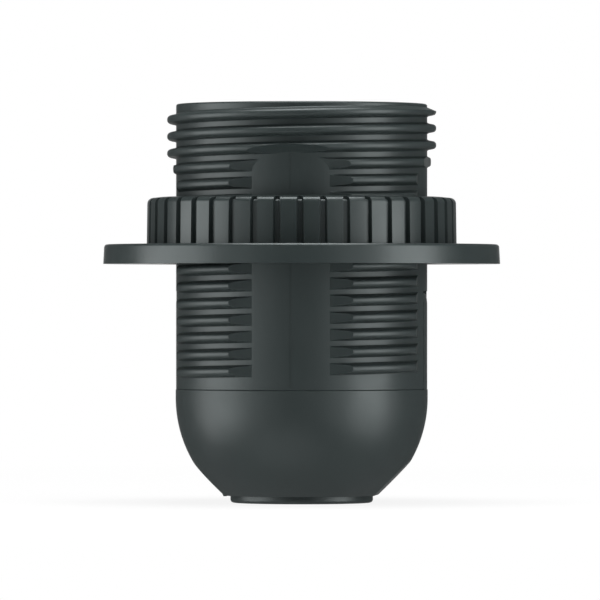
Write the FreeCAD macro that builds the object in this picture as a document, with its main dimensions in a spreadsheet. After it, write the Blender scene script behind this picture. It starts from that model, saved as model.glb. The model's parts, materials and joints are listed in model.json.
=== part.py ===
"""E27 lamp holder: part-threaded skirt, shade ring, domed cap and the contact block inside.

The frame stands on the face of the cap's collar: the origin is the centre of that face and
+Z runs up the axis to the mouth. The two latch arms and the two terminals lie on the X axis.
Lengths are millimetres, angles are degrees.
"""
import FreeCAD, Part
import math
import os
import Sketcher
from types import SimpleNamespace

SIZES = {
    # skirt and rim
    "overall_height": 59.0,
    "skirt_radius": 18.6,
    "skirt_wall": 1.6,
    "rim_web": 1.8,
    "rim_edge": 0.25,
    # outer thread for the shade ring, 40 mm nominal
    "ridge_depth": 1.33,
    "thread_pitch": 2.5,
    "ridge_base": 1.7,
    "ridge_crest": 0.95,
    "thread_foot_margin": 1.72,
    "thread_top_margin": 0.86,
    "lead_in_drop": 0.5,
    "lead_in_fall": 0.55,
    # four smooth zones of the skirt; their roofs are measured down from the mouth
    "zone_depth": 0.9,
    "front_roof_depth": 6.3,
    "front_roof_fall": 1.1,
    "side_roof_depth": 6.4,
    "side_roof_fall": 2.25,
    # inner barrel with the lamp thread, E27
    "lamp_root_radius": 13.4,
    "lamp_thread_depth": 0.95,
    "lamp_pitch": 3.629,
    "lamp_round": 1.025,
    "lamp_groove_lift": 0.13,
    "lamp_thread_run_in": 1.6,
    "lamp_thread_run_out": 2.5,
    "barrel_wall": 1.6,
    "mouth_step": 0.3,
    "mouth_depth": 5.0,
    "mouth_chamfer": 0.5,
    "band_step": 0.2,
    "band_height": 2.5,
    "relief_step": 0.65,
    "relief_height": 4.4,
    # domed cap
    "dome_step": 0.07,
    "dome_centre": 15.5,
    "dome_wall": 1.8,
    "dome_band": 1.3,
    "dome_foot": 1.1,
    "foot_ledge": 0.823,
    "flat_depth": 0.67,
    "collar_edge": 0.5,
    "recess_width": 0.5,
    "recess_depth": 0.5,
    "floor_wall": 2.4,
    "neck_height": 1.4,
    "neck_wall": 1.0,
    "neck_clearance": 0.15,
    "rib_count": 4,
    "rib_yaw": 45,
    "rib_thickness": 1.6,
    "rib_reach": 3.65,
    # latch arms of the cap and their slots in the skirt
    "arm_count": 2,
    "arm_width": 6.0,
    "arm_thickness": 1.5,
    "arm_length": 14.2,
    "arm_side_gap": 0.2,
    "arm_top_gap": 0.3,
    # cable entry, M10x1
    "entry_minor_radius": 4.459,
    "entry_chamfer": 0.5,
    "boss_wall": 2.541,
    "boss_gap": 1.0,
    # lock screw of the entry
    "lock_height": 8.0,
    "lock_lug_radius": 2.6,
    "lock_lug_rise": 1.6,
    "lock_screw_radius": 1.2,
    "lock_screw_point": 0.6,
    "lock_screw_length": 5.0,
    "lock_backed_out": 0.45,
    "screw_clearance": 0.05,
    # shade ring
    "flange_radius": 29.39,
    "flange_draft": 0.15,
    "flange_bottom": 35.35,
    "flange_thickness": 2.89,
    "flange_edge": 0.5,
    "hub_wall": 2.8,
    "hub_draft": 0.1,
    "hub_height": 7.0,
    "hub_fall": 0.22,
    "hub_edge": 0.8,
    "ring_clearance": 0.22,
    "ring_chamfer": 0.6,
    "grip_count": 42,
    "grip_yaw": 0.56,
    "grip_width": 0.9,
    "grip_depth": 0.9,
    # contact block
    "block_drop": 3.8,
    "block_clearance": 0.2,
    "block_height": 13.5,
    "block_edge": 0.3,
    "deck_thickness": 2.5,
    "pocket_length": 11.25,
    "pocket_width": 7.6,
    "wall_ring_step": 0.75,
    "wall_ring_thickness": 2.0,
    "wall_ring_height": 3.3,
    "wall_ring_gap": 0.2,
    # pillar terminals
    "pillar_gap": 0.2,
    "pillar_length": 6.4,
    "pillar_width": 7.0,
    "pillar_height": 9.0,
    "pillar_edge": 0.4,
    "wire_radius": 1.4,
    "wire_offset": 2.4,
    "wire_depth": 7.4,
    "terminal_screw_drop": 3.4,
    "terminal_screw_radius": 1.2,
    "terminal_screw_point": 0.4,
    "terminal_screw_tip_gap": 0.2,
    "terminal_screw_length": 5.0,
    "screw_head_radius": 2.5,
    "screw_head_height": 1.6,
    "screw_slot_width": 0.6,
    "screw_slot_depth": 0.8,
    # contact leaves and their rivets
    "leaf_thickness": 0.5,
    "leaf_width": 5.0,
    "leaf_corner": 1.25,
    "leaf_seat_gap": 0.35,
    "rivet_inset": 2.5,
    "rivet_radius": 1.0,
    "rivet_hole_clearance": 0.3,
    "rivet_depth": 1.2,
    "rivet_head_radius": 1.75,
    "rivet_head_height": 0.7,
    "leaf_tail": 2.4,
    "leaf_root": 1.9,
    "leaf_bend_gap": 2.4,
    "leaf_tip": 2.4,
    "button_rise": 3.5,
    "button_radius": 1.6,
    "button_height": 0.55,
    "side_leaf_foot": 2.3,
    "side_leaf_shoulder": 4.1,
    "side_leaf_nose": 6.1,
    "side_leaf_height": 7.7,
    "side_leaf_lean": 0.3,
    "side_leaf_nose_depth": 0.8,
}

# Sizes that follow from the ones above
FOLLOWING = {
    "parting_height": "dome_centre + dome_band",
    "thread_radius": "skirt_radius + ridge_depth",
    "thread_start": "parting_height + thread_foot_margin",
    "thread_height": "overall_height - thread_top_margin - thread_start",
    "zone_radius": "skirt_radius - zone_depth",
    "skirt_inner": "skirt_radius - skirt_wall",
    "neck_outer": "skirt_inner - neck_clearance",
    "neck_inner": "neck_outer - neck_wall",
    "arm_inner": "skirt_radius - arm_thickness",
    "arm_top": "parting_height + arm_length",
    "dome_radius": "skirt_radius + dome_step",
    "dome_inner": "dome_radius - dome_wall",
    "foot_radius": "sqrt(dome_radius ^ 2 - (dome_centre - dome_foot) ^ 2)",
    "collar_radius": "foot_radius - foot_ledge - recess_width",
    "flat_distance": "dome_radius - flat_depth",
    "rib_inner_radius": "neck_inner - rib_reach",
    "block_seat": "parting_height - block_drop",
    "block_top": "block_seat + block_height",
    "block_radius": "neck_inner - block_clearance",
    "deck_underside": "block_top - deck_thickness",
    "wall_ring_outer": "block_radius - wall_ring_step",
    "wall_ring_inner": "wall_ring_outer - wall_ring_thickness",
    "wall_ring_top": "block_top + wall_ring_height",
    "boss_radius": "entry_minor_radius + boss_wall",
    "boss_top": "block_seat - boss_gap",
    "lock_lug_reach": "boss_radius + lock_lug_rise",
    "barrel_end": "wall_ring_top + wall_ring_gap",
    "barrel_outer": "lamp_root_radius + barrel_wall",
    "mouth_radius": "lamp_root_radius + mouth_step",
    "mouth_foot": "overall_height - mouth_depth",
    "lamp_land_radius": "lamp_root_radius - lamp_thread_depth",
    "band_foot": "barrel_end + relief_height",
    "band_top": "band_foot + band_height",
    "band_radius": "lamp_land_radius - band_step",
    "relief_radius": "band_radius + relief_step",
    "lamp_thread_start": "band_top + lamp_thread_run_in",
    "lamp_thread_height": "mouth_foot + lamp_thread_run_out - lamp_thread_start",
    "flange_top": "flange_bottom + flange_thickness",
    "flange_upper": "flange_radius - flange_draft",
    "ring_bore": "thread_radius + ring_clearance",
    "hub_radius": "ring_bore + hub_wall",
    "hub_upper": "hub_radius - hub_draft",
    "hub_top": "flange_top + hub_height",
    "half_grip_pitch": "180 / grip_count",
    "pocket_inner": "block_radius - pocket_length",
    "pillar_inner": "pocket_inner + pillar_gap",
    "pillar_outer": "pillar_inner + pillar_length",
    "pillar_foot": "deck_underside - pillar_height",
    "wire_centre": "pillar_inner + wire_offset",
    "terminal_screw_height": "deck_underside - terminal_screw_drop",
    "rivet_offset": "pillar_outer - rivet_inset",
    "rivet_foot": "deck_underside - rivet_depth",
    "leaf_bottom": "block_top + leaf_seat_gap",
    "leaf_top": "leaf_bottom + leaf_thickness",
    "rivet_head_foot": "leaf_top + leaf_seat_gap",
    "button_top": "block_top + button_rise",
    "button_foot": "button_top - button_height",
}

doc = FreeCAD.newDocument("lamp_holder")
sheet = doc.addObject("Spreadsheet::Sheet", "sizes")
for row, (alias, content) in enumerate({**SIZES, **FOLLOWING}.items(), start=1):
    sheet.set(f"A{row}", alias)
    sheet.set(f"B{row}", f"={content}")
    sheet.setAlias(f"B{row}", alias)
doc.recompute()


class Size:
    """A size known both as the expression that binds it to the sheet and as its number."""

    def __init__(self, text, number):
        self.text = text
        self.number = number

    def __add__(self, other):
        other = as_size(other)
        return Size(f"({self.text} + {other.text})", self.number + other.number)

    def __sub__(self, other):
        other = as_size(other)
        return Size(f"({self.text} - {other.text})", self.number - other.number)

    def __mul__(self, other):
        other = as_size(other)
        return Size(f"({self.text} * {other.text})", self.number * other.number)

    def __truediv__(self, other):
        other = as_size(other)
        return Size(f"({self.text} / {other.text})", self.number / other.number)

    def __neg__(self):
        return Size(f"(0 - {self.text})", -self.number)


def as_size(value):
    """A Size as it is, or a plain number made one."""
    return value if isinstance(value, Size) else Size(repr(float(value)), float(value))


def root(value):
    """Square root of a Size."""
    return Size(f"sqrt({value.text})", math.sqrt(value.number))


def across(radius, offset):
    """Half chord of a circle of this radius, at this distance from its centre."""
    return root(radius * radius - offset * offset)


s = SimpleNamespace(
    **{alias: Size(f"sizes.{alias}", sheet.get(alias)) for alias in (*SIZES, *FOLLOWING)}
)
COS_45 = math.sqrt(0.5)
PAST = 1.0  # how far a cut runs past the face that it opens
zone_outer = s.thread_radius + PAST


def bind(thing, path, value):
    """Tie one property of an object to the sheet."""
    thing.setExpression(path, as_size(value).text)


def new_body(label):
    body = doc.addObject("PartDesign::Body", label)
    body.Label = label
    return body


def origin_feature(body, role):
    return next(feature for feature in body.Origin.OriginFeatures if feature.Role == role)


def new_sketch(body, label, role, outward=None, upward=None, yaw=None, about=None):
    """Sketch on an origin plane, shifted outward along its normal and upward in the plane."""
    sketch = body.newObject("Sketcher::SketchObject", f"{body.Name}_{label}")
    sketch.AttachmentSupport = [(origin_feature(body, role), "")]
    sketch.MapMode = "FlatFace"
    if yaw is not None:
        sketch.AttachmentOffset = FreeCAD.Placement(
            FreeCAD.Vector(), FreeCAD.Rotation(about, yaw.number)
        )
        bind(sketch, "AttachmentOffset.Rotation.Angle", yaw)
    if outward is not None:
        bind(sketch, "AttachmentOffset.Base.z", outward)
    if upward is not None:
        bind(sketch, "AttachmentOffset.Base.y", upward)
    return sketch


def place(sketch, geometry, point, x, y):
    """Fix one point of a sketch at its distances from the sketch's origin."""
    for kind, value in (("DistanceX", x), ("DistanceY", y)):
        index = sketch.addConstraint(
            Sketcher.Constraint(kind, -1, 1, geometry, point, value.number)
        )
        bind(sketch, f"Constraints[{index}]", value)


def outline(sketch, corners):
    """Closed outline through the corners, given as (across, up) or (across, up, radius).

    A radius rounds the edge from that corner to the next: positive bulges to the right of
    the way round, negative to the left.
    """
    points = [(as_size(corner[0]), as_size(corner[1])) for corner in corners]
    first = sketch.GeometryCount
    ends = []
    for index, corner in enumerate(corners):
        start = FreeCAD.Vector(*(value.number for value in points[index]))
        stop = FreeCAD.Vector(*(value.number for value in points[(index + 1) % len(corners)]))
        if len(corner) == 2:
            sketch.addGeometry(Part.LineSegment(start, stop), False)
            ends.append((1, 2))
            continue
        radius = corner[2]
        size = abs(radius.number)
        side = math.copysign(1.0, radius.number)
        chord = stop - start
        left = FreeCAD.Vector(-chord.y, chord.x).normalize()
        rise = math.sqrt(max(size * size - chord.Length**2 / 4, 0.0))
        centre = (start + stop) / 2 + left * (rise * side)
        angles = [math.atan2((p - centre).y, (p - centre).x) for p in (start, stop)]
        if side < 0:
            angles.reverse()
        circle = Part.Circle(centre, FreeCAD.Vector(0, 0, 1), size)
        number = sketch.addGeometry(Part.ArcOfCircle(circle, *angles), False)
        rounding = sketch.addConstraint(Sketcher.Constraint("Radius", number, size))
        bind(sketch, f"Constraints[{rounding}]", radius if side > 0 else -radius)
        ends.append((1, 2) if side > 0 else (2, 1))
    for index, (x, y) in enumerate(points):
        before = (index - 1) % len(points)
        sketch.addConstraint(
            Sketcher.Constraint(
                "Coincident", first + before, ends[before][1], first + index, ends[index][0]
            )
        )
        place(sketch, first + index, ends[index][0], x, y)


def rectangle(sketch, left, bottom, right, top):
    outline(sketch, [(left, bottom), (right, bottom), (right, top), (left, top)])


def circle(sketch, x, y, radius):
    x, y = as_size(x), as_size(y)
    centre = FreeCAD.Vector(x.number, y.number)
    number = sketch.addGeometry(
        Part.Circle(centre, FreeCAD.Vector(0, 0, 1), radius.number), False
    )
    index = sketch.addConstraint(Sketcher.Constraint("Radius", number, radius.number))
    bind(sketch, f"Constraints[{index}]", radius)
    place(sketch, number, 3, x, y)


steps = []


def feature(body, kind, label, sketch, adds):
    """New feature from a sketch. The volume it adds or removes is checked by finish()."""
    made = body.newObject(f"PartDesign::{kind}", f"{body.Name}_{label}")
    made.Profile = sketch
    steps.append((made, made.BaseFeature, adds))
    return made


def pad(body, label, sketch, length, both_ways=False, backward=False):
    made = feature(body, "Pad", label, sketch, True)
    bind(made, "Length", length)
    made.SideType = "Symmetric" if both_ways else "One side"
    made.Reversed = backward
    return made


def pocket(body, label, sketch, length, both_ways=False, backward=False):
    """Cut against the sketch's normal, or along it when backward."""
    made = feature(body, "Pocket", label, sketch, False)
    bind(made, "Length", length)
    made.SideType = "Symmetric" if both_ways else "One side"
    made.Reversed = backward
    return made


def turned(body, label, sketch, axis="V_Axis", cut=False):
    """Full turn of a sketch about one of its own axes."""
    made = feature(body, "Groove" if cut else "Revolution", label, sketch, not cut)
    made.ReferenceAxis = (sketch, [axis])
    made.Angle = 360.0
    return made


def helix(body, label, sketch, pitch, height, cut=False):
    """Right-hand thread swept from a sketch about the Z axis."""
    kind = "SubtractiveHelix" if cut else "AdditiveHelix"
    made = feature(body, kind, label, sketch, not cut)
    made.ReferenceAxis = (sketch, ["V_Axis"])
    made.Mode = "pitch-height-angle"
    bind(made, "Pitch", pitch)
    bind(made, "Height", height)
    return made


def around(body, label, originals, count):
    """Copies of features spread evenly about the Z axis."""
    made = body.newObject("PartDesign::PolarPattern", f"{body.Name}_{label}")
    made.Originals = originals
    made.Axis = (origin_feature(body, "Z_Axis"), [""])
    made.Angle = 360.0
    bind(made, "Occurrences", count)
    body.Tip = made
    return made


def soften(body, label, radius, chosen):
    """Fillet of the edges for which chosen(edge) is true."""
    doc.recompute()
    base = body.Tip
    names = [f"Edge{n}" for n, edge in enumerate(base.Shape.Edges, start=1) if chosen(edge)]
    made = body.newObject("PartDesign::Fillet", f"{body.Name}_{label}")
    made.Base = (base, names)
    bind(made, "Radius", radius)
    return made


def along(edge, axis):
    """Whether a straight edge runs along this axis."""
    if not isinstance(edge.Curve, Part.Line):
        return False
    return abs(abs(edge.Curve.Direction.dot(axis)) - 1) < 1e-6


X_AXIS = FreeCAD.Vector(1, 0, 0)
Y_AXIS = FreeCAD.Vector(0, 1, 0)
Z_AXIS = FreeCAD.Vector(0, 0, 1)


def skirt_zones(body, label, role, roof_depth, roof_fall):
    """Cut the ridges flat on two opposite sides, up to a roof that falls towards the axis."""
    slope = roof_fall / s.ridge_depth
    roof = s.overall_height - roof_depth
    inner_roof = roof - (s.ridge_depth + s.zone_depth) * slope
    outer_roof = roof + slope * PAST
    sketch = new_sketch(body, f"{label}_zone", role)
    for side in (1, -1):
        outline(
            sketch,
            [
                (s.zone_radius * side, s.parting_height),
                (zone_outer * side, s.parting_height),
                (zone_outer * side, outer_roof),
                (s.zone_radius * side, inner_roof),
            ],
        )
    return pocket(body, f"{label}_zones", sketch, zone_outer * 2, both_ways=True)


def outer_shell():
    """Skirt with the ring's thread, rim and inner barrel with the lamp thread, moulded as one."""
    body = new_body("outer_shell")

    ridge = new_sketch(body, "ridge", "YZ_Plane")
    ridge_foot = s.skirt_radius - s.skirt_wall / 2
    outline(
        ridge,
        [
            (ridge_foot, s.thread_start - s.ridge_base / 2),
            (s.skirt_radius, s.thread_start - s.ridge_base / 2),
            (s.thread_radius, s.thread_start - s.ridge_crest / 2),
            (s.thread_radius, s.thread_start + s.ridge_crest / 2),
            (s.skirt_radius, s.thread_start + s.ridge_base / 2),
            (ridge_foot, s.thread_start + s.ridge_base / 2),
        ],
    )
    helix(body, "ridges", ridge, s.thread_pitch, s.thread_height)
    skirt_zones(body, "front", "YZ_Plane", s.front_roof_depth, s.front_roof_fall)
    skirt_zones(body, "side", "XZ_Plane", s.side_roof_depth, s.side_roof_fall)

    lead_in = new_sketch(body, "lead_in", "XZ_Plane")
    lead_in_top = s.overall_height - s.lead_in_drop
    lead_in_foot = lead_in_top - s.lead_in_fall
    outline(
        lead_in,
        [
            (ridge_foot, lead_in_top),
            (s.skirt_radius, lead_in_top),
            (s.thread_radius, lead_in_foot),
            (zone_outer, lead_in_foot),
            (zone_outer, s.overall_height + PAST),
            (ridge_foot, s.overall_height + PAST),
        ],
    )
    turned(body, "lead_in_cone", lead_in, cut=True)

    wall = new_sketch(body, "wall", "XZ_Plane")
    land_top = s.mouth_foot - (s.mouth_radius - s.lamp_land_radius)
    outline(
        wall,
        [
            (s.skirt_inner, s.parting_height),
            (s.skirt_radius, s.parting_height),
            (s.skirt_radius, s.overall_height - s.rim_edge, s.rim_edge),
            (s.skirt_radius - s.rim_edge, s.overall_height),
            (s.mouth_radius + s.mouth_chamfer, s.overall_height),
            (s.mouth_radius, s.overall_height - s.mouth_chamfer),
            (s.mouth_radius, s.mouth_foot),
            (s.lamp_land_radius, land_top),
            (s.lamp_land_radius, s.band_top),
            (s.band_radius, s.band_top),
            (s.band_radius, s.band_foot),
            (s.relief_radius, s.band_foot),
            (s.relief_radius, s.barrel_end),
            (s.barrel_outer, s.barrel_end),
            (s.barrel_outer, s.overall_height - s.rim_web),
            (s.skirt_inner, s.overall_height - s.rim_web),
        ],
    )
    turned(body, "walls", wall)

    groove = new_sketch(body, "lamp_groove", "XZ_Plane")
    half_round = s.lamp_round * COS_45
    tangent_radius = s.lamp_root_radius - s.lamp_round + half_round
    open_radius = s.lamp_land_radius - s.lamp_groove_lift
    half_open = half_round + tangent_radius - open_radius
    start = s.lamp_thread_start
    outline(
        groove,
        [
            (open_radius, start - half_open),
            (tangent_radius, start - half_round, s.lamp_round),
            (tangent_radius, start + half_round),
            (open_radius, start + half_open),
        ],
    )
    helix(body, "lamp_thread", groove, s.lamp_pitch, s.lamp_thread_height, cut=True)

    slots = new_sketch(body, "arm_slots", "XY_Plane", outward=s.parting_height)
    half_slot = s.arm_width / 2 + s.arm_side_gap
    gap_middle = (s.barrel_outer + s.skirt_inner) / 2
    for side in (1, -1):
        rectangle(slots, gap_middle * side, -half_slot, zone_outer * side, half_slot)
    slot_height = s.arm_top + s.arm_top_gap - s.parting_height
    pocket(body, "slots", slots, slot_height, backward=True)
    return body


def shade_ring():
    """Flange and knurled hub in one moulding; the bore clears the skirt's thread.

    The profile stands halfway between two grip grooves, so that none crosses the ring's seam.
    """
    body = new_body("shade_ring")
    between_grips = s.grip_yaw + s.half_grip_pitch
    profile = new_sketch(body, "profile", "XZ_Plane", yaw=between_grips, about=Y_AXIS)
    hub_shoulder = s.hub_top - s.hub_fall
    outline(
        profile,
        [
            (s.ring_bore + s.ring_chamfer, s.flange_bottom),
            (s.flange_radius, s.flange_bottom),
            (s.flange_upper, s.flange_top - s.flange_edge, s.flange_edge),
            (s.flange_upper - s.flange_edge, s.flange_top),
            (s.hub_radius, s.flange_top),
            (s.hub_upper, hub_shoulder - s.hub_edge, s.hub_edge),
            (s.hub_upper - s.hub_edge, hub_shoulder),
            (s.ring_bore + s.ring_chamfer, s.hub_top),
            (s.ring_bore, s.hub_top - s.ring_chamfer),
            (s.ring_bore, s.flange_bottom + s.ring_chamfer),
        ],
    )
    turned(body, "solid", profile)

    grip = new_sketch(
        body, "grip", "XY_Plane", outward=s.flange_top, yaw=s.grip_yaw, about=Z_AXIS
    )
    rectangle(
        grip,
        s.hub_radius - s.grip_depth,
        -s.grip_width / 2,
        s.hub_radius + PAST,
        s.grip_width / 2,
    )
    cut = pocket(body, "grip_groove", grip, s.hub_height, backward=True)
    around(body, "grip_grooves", [cut], s.grip_count)
    return body


def dome_cap():
    """Domed cap: latch arms, ribs for the contact block, and the boss of the M10x1 entry."""
    body = new_body("dome_cap")
    profile = new_sketch(body, "profile", "XZ_Plane")
    cavity_step = s.dome_centre - across(s.dome_inner, s.neck_inner)
    floor_radius = across(s.dome_inner, s.dome_centre - s.floor_wall)
    outline(
        profile,
        [
            (s.entry_minor_radius + s.entry_chamfer, 0),
            (s.collar_radius - s.collar_edge, 0, s.collar_edge),
            (s.collar_radius, s.collar_edge),
            (s.collar_radius, s.dome_foot + s.recess_depth),
            (s.collar_radius + s.recess_width, s.dome_foot + s.recess_depth),
            (s.collar_radius + s.recess_width, s.dome_foot),
            (s.foot_radius, s.dome_foot, s.dome_radius),
            (s.dome_radius, s.dome_centre),
            (s.dome_radius, s.parting_height),
            (s.neck_outer, s.parting_height),
            (s.neck_outer, s.parting_height + s.neck_height),
            (s.neck_inner, s.parting_height + s.neck_height),
            (s.neck_inner, cavity_step, -s.dome_inner),
            (floor_radius, s.floor_wall),
            (s.boss_radius, s.floor_wall),
            (s.boss_radius, s.boss_top),
            (s.entry_minor_radius + s.entry_chamfer, s.boss_top),
            (s.entry_minor_radius, s.boss_top - s.entry_chamfer),
            (s.entry_minor_radius, s.entry_chamfer),
        ],
    )
    turned(body, "shell", profile)

    flats = new_sketch(body, "flats", "XZ_Plane")
    reach = s.flat_distance / COS_45 - s.dome_centre
    for side in (1, -1):
        outline(
            flats,
            [
                ((reach + s.dome_foot) * side, s.dome_foot),
                (zone_outer * side, s.dome_foot),
                (zone_outer * side, zone_outer - reach),
            ],
        )
    pocket(body, "side_flats", flats, zone_outer * 2, both_ways=True)

    rib = new_sketch(body, "rib", "XZ_Plane", yaw=s.rib_yaw, about=Y_AXIS)
    rib_sphere = s.dome_radius - s.dome_wall / 2
    rib_outer = s.neck_inner + s.neck_wall / 2
    outline(
        rib,
        [
            (s.rib_inner_radius, s.dome_centre - across(rib_sphere, s.rib_inner_radius), rib_sphere),
            (rib_outer, s.dome_centre - across(rib_sphere, rib_outer)),
            (rib_outer, s.block_seat),
            (s.rib_inner_radius, s.block_seat),
        ],
    )
    rib_pad = pad(body, "block_rib", rib, s.rib_thickness, both_ways=True)
    around(body, "block_ribs", [rib_pad], s.rib_count)

    arms = new_sketch(body, "arms", "XY_Plane", outward=s.dome_centre)
    half_arm = s.arm_width / 2
    outer_x = across(s.skirt_radius, half_arm)
    inner_x = across(s.arm_inner, half_arm)
    outline(
        arms,
        [
            (outer_x, -half_arm, s.skirt_radius),
            (outer_x, half_arm),
            (inner_x, half_arm, -s.arm_inner),
            (inner_x, -half_arm),
        ],
    )
    arm = pad(body, "latch_arm", arms, s.arm_top - s.dome_centre)
    around(body, "latch_arms", [arm], s.arm_count)

    lug_start = (s.entry_minor_radius + s.boss_radius) / 2
    lug = new_sketch(body, "lug", "XZ_Plane", outward=-lug_start)
    circle(lug, 0, s.lock_height, s.lock_lug_radius)
    pad(body, "lock_lug", lug, s.lock_lug_reach - lug_start, backward=True)
    hole = new_sketch(body, "lock_hole", "XZ_Plane")
    circle(hole, 0, s.lock_height, s.lock_screw_radius + s.screw_clearance)
    pocket(body, "lock_thread", hole, s.lock_lug_reach + PAST)
    return body


def contact_block():
    """Insulating block: a deck for the contacts over two open pockets for the terminals."""
    body = new_body("contact_block")
    profile = new_sketch(body, "profile", "XZ_Plane")
    outline(
        profile,
        [
            (0, s.block_seat),
            (s.block_radius - s.block_edge, s.block_seat),
            (s.block_radius, s.block_seat + s.block_edge),
            (s.block_radius, s.block_top),
            (s.wall_ring_outer, s.block_top),
            (s.wall_ring_outer, s.wall_ring_top),
            (s.wall_ring_inner, s.wall_ring_top),
            (s.wall_ring_inner, s.block_top),
            (0, s.block_top),
        ],
    )
    turned(body, "solid", profile)

    pockets = new_sketch(body, "pockets", "XY_Plane", outward=s.block_seat)
    half_pocket = s.pocket_width / 2
    for side in (1, -1):
        rectangle(
            pockets,
            s.pocket_inner * side,
            -half_pocket,
            (s.block_radius + PAST) * side,
            half_pocket,
        )
    pocket_height = s.deck_underside - s.block_seat
    pocket(body, "terminal_pockets", pockets, pocket_height, backward=True)

    holes = new_sketch(body, "rivet_holes", "XY_Plane", outward=s.block_top)
    for side in (1, -1):
        circle(holes, s.rivet_offset * side, 0, s.rivet_radius + s.screw_clearance)
    pocket(body, "rivet_bores", holes, s.deck_thickness + PAST)
    return body


def pillar_terminal(label, yaw):
    """Brass pillar: a blind wire hole from below, crossed by the hole of the clamping screw."""
    body = new_body(label)
    block = new_sketch(body, "block", "XY_Plane", outward=s.deck_underside)
    half_width = s.pillar_width / 2
    rectangle(block, s.pillar_inner, -half_width, s.pillar_outer, half_width)
    pad(body, "pillar", block, s.pillar_height, backward=True)
    soften(body, "edges", s.pillar_edge, lambda edge: along(edge, Z_AXIS))

    wire = new_sketch(body, "wire", "XY_Plane", outward=s.pillar_foot)
    circle(wire, s.wire_centre, 0, s.wire_radius)
    pocket(body, "wire_hole", wire, s.wire_depth, backward=True)

    screw = new_sketch(body, "clamp", "YZ_Plane", outward=s.pillar_outer)
    circle(screw, 0, s.terminal_screw_height, s.terminal_screw_radius + s.screw_clearance)
    pocket(body, "screw_hole", screw, s.pillar_outer - s.wire_centre)

    rivet = new_sketch(body, "rivet", "XY_Plane", outward=s.deck_underside)
    circle(rivet, s.rivet_offset, 0, s.rivet_radius + s.screw_clearance)
    pocket(body, "rivet_hole", rivet, s.rivet_depth)
    body.Placement = FreeCAD.Placement(FreeCAD.Vector(), FreeCAD.Rotation(Z_AXIS, yaw))
    return body


def terminal_screw(label, yaw):
    """Cheese-head screw, backed out until its tip leaves the wire hole."""
    body = new_body(label)
    tip = s.wire_centre + s.wire_radius + s.terminal_screw_tip_gap
    head = tip + s.terminal_screw_length
    head_end = head + s.screw_head_height
    profile = new_sketch(body, "profile", "XZ_Plane", upward=s.terminal_screw_height)
    outline(
        profile,
        [
            (tip, 0),
            (head_end, 0),
            (head_end, s.screw_head_radius),
            (head, s.screw_head_radius),
            (head, s.terminal_screw_radius),
            (tip + s.terminal_screw_point, s.terminal_screw_radius),
            (tip, s.terminal_screw_radius - s.terminal_screw_point),
        ],
    )
    turned(body, "solid", profile, axis="H_Axis")
    slot = new_sketch(body, "slot", "XY_Plane", outward=s.terminal_screw_height)
    half_slot = s.screw_slot_width / 2
    rectangle(slot, head_end - s.screw_slot_depth, -half_slot, head_end + PAST, half_slot)
    pocket(body, "driver_slot", slot, (s.screw_head_radius + PAST) * 2, both_ways=True)
    body.Placement = FreeCAD.Placement(FreeCAD.Vector(), FreeCAD.Rotation(Z_AXIS, yaw))
    return body


def rivet(label, side):
    """Rivet through leaf, deck and pillar, with a domed head over the leaf."""
    body = new_body(label)
    head_top = s.rivet_head_foot + s.rivet_head_height
    rise = s.rivet_head_height
    reach = s.rivet_head_radius
    dome = (reach * reach + rise * rise) / (rise * 2)
    profile = new_sketch(body, "profile", "XZ_Plane")
    outline(
        profile,
        [
            (0, s.rivet_foot),
            (s.rivet_radius, s.rivet_foot),
            (s.rivet_radius, s.rivet_head_foot),
            (s.rivet_head_radius, s.rivet_head_foot, dome),
            (0, head_top),
        ],
    )
    turned(body, "solid", profile)
    bind(body, "Placement.Base.x", s.rivet_offset * side)
    return body


def centre_contact():
    """Sprung leaf that rises from its rivet to the contact button on the axis."""
    body = new_body("centre_contact")
    tail = -(s.rivet_offset + s.leaf_tail)
    bend = -(s.rivet_offset - s.leaf_root)
    strip = new_sketch(body, "strip", "XZ_Plane")
    outline(
        strip,
        [
            (tail, s.leaf_bottom),
            (bend, s.leaf_bottom),
            (-s.leaf_bend_gap, s.button_foot - s.leaf_thickness),
            (s.leaf_tip, s.button_foot - s.leaf_thickness),
            (s.leaf_tip, s.button_foot),
            (-s.leaf_bend_gap, s.button_foot),
            (bend, s.leaf_top),
            (tail, s.leaf_top),
        ],
    )
    pad(body, "leaf", strip, s.leaf_width, both_ways=True)
    soften(body, "corners", s.leaf_corner, lambda edge: along(edge, Z_AXIS))
    hole = new_sketch(body, "hole", "XY_Plane", outward=s.leaf_top)
    circle(hole, -s.rivet_offset, 0, s.rivet_radius + s.rivet_hole_clearance)
    pocket(body, "rivet_hole", hole, s.leaf_thickness + PAST)

    button = new_sketch(body, "button", "XZ_Plane")
    dome = (s.button_radius * s.button_radius + s.button_height * s.button_height) / (
        s.button_height * 2
    )
    outline(
        button,
        [
            (0, s.button_foot - s.leaf_thickness / 2),
            (s.button_radius, s.button_foot - s.leaf_thickness / 2),
            (s.button_radius, s.button_foot, dome),
            (0, s.button_top),
        ],
    )
    turned(body, "contact_button", button)
    return body


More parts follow.
